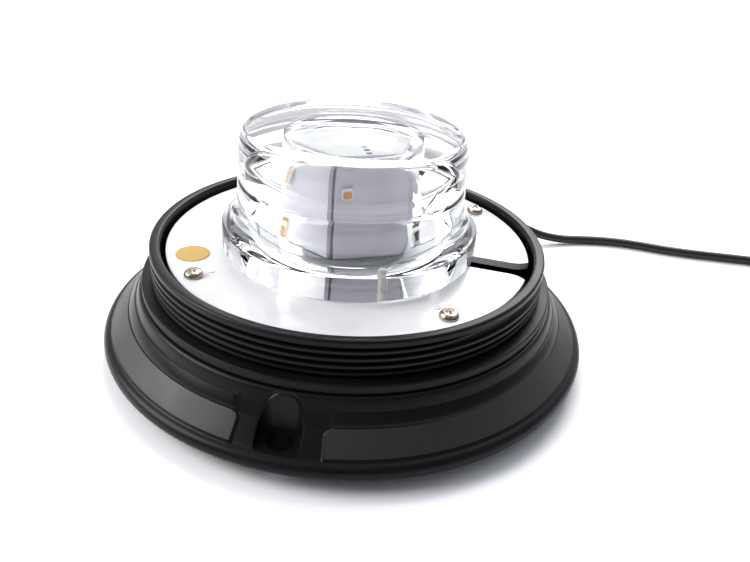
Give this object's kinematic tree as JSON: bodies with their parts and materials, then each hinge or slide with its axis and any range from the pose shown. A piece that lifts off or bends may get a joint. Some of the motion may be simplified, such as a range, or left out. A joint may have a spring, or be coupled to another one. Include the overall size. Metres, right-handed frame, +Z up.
{
  "type": "led safety flare",
  "caption": "Base unit of an LED warning beacon: black threaded three-bolt housing, white reflector plate, clear optic over an LED tower, and a coiled supply lead.",
  "frame": {"origin": "middle of the underside of the mounting gasket, on the surface the beacon stands on", "axes": "+Z up along the thread's axis; -Y towards the front mounting bolt; +X towards the lead notch of the white plate"},
  "size_m": [0.3016, 0.1707, 0.0652],
  "materials": {
    "housing_black": "satin moulded polycarbonate, fine spark texture on the panels",
    "rubber_black": "moulded EPDM, matt",
    "moulded_black": "moulded black plastic and PVC",
    "plate_white": "glossy white reflector sheet",
    "nickel_steel": "nickel plated steel",
    "brass_insert": "turned brass",
    "clear_acrylic": "clear polished acrylic",
    "tower_aluminium": "mill finish extruded aluminium",
    "board_mask": "white solder mask",
    "led_phosphor": "amber phosphor under silicone",
    "cap_white": "white moulded PBT",
    "board_laminate": "green glass-epoxy laminate",
    "dot_yellow": "matt yellow label paper",
    "lead_sheath": "black PVC sheath",
    "core_red": "red PVC insulation",
    "tinned_copper": "tinned copper strands"
  },
  "bodies": {
    "root": {"base_housing": "housing_black", "breather_vent": "moulded_black", "coil_tie": "moulded_black", "controller_chip": "moulded_black", "core_black": "moulded_black", "core_red": "core_red", "dome_seal_ring": "rubber_black", "driver_board": "board_laminate", "driver_screw_1": "nickel_steel", "driver_screw_2": "nickel_steel", "driver_screw_3": "nickel_steel", "inductor": "moulded_black", "inner_lead": "lead_sheath", "inspection_dot": "dot_yellow", "led_board_1": "board_mask", "led_board_2": "board_mask", "led_board_3": "board_mask", "led_board_4": "board_mask", "led_board_5": "board_mask", "led_board_6": "board_mask", "led_lead_black": "moulded_black", "led_lead_red": "core_red", "led_package_1": "led_phosphor", "led_package_2": "led_phosphor", "led_package_3": "led_phosphor", "led_package_4": "led_phosphor", "led_package_5": "led_phosphor", "led_package_6": "led_phosphor", "led_tower": "tower_aluminium", "mounting_gasket": "rubber_black", "optic_lens": "clear_acrylic", "optic_screw_1": "nickel_steel", "optic_screw_2": "nickel_steel", "optic_screw_3": "nickel_steel", "plate_insert_1": "brass_insert", "plate_insert_2": "brass_insert", "plate_insert_3": "brass_insert", "plate_insert_4": "brass_insert", "plate_screw_1": "nickel_steel", "plate_screw_2": "nickel_steel", "plate_screw_3": "nickel_steel", "plate_screw_4": "nickel_steel", "reflector_plate": "plate_white", "sheath_sleeve": "moulded_black", "smoothing_capacitor": "moulded_black", "strain_relief": "rubber_black", "supply_lead": "lead_sheath", "supply_lead_coil": "lead_sheath", "supply_lead_tail": "lead_sheath", "supply_terminal": "board_laminate", "switch_transistor": "moulded_black", "tinned_tip_black": "tinned_copper", "tinned_tip_red": "tinned_copper", "tower_cap": "cap_white", "tower_screw_1": "nickel_steel", "tower_screw_2": "nickel_steel"}
  },
  "joints": []
}
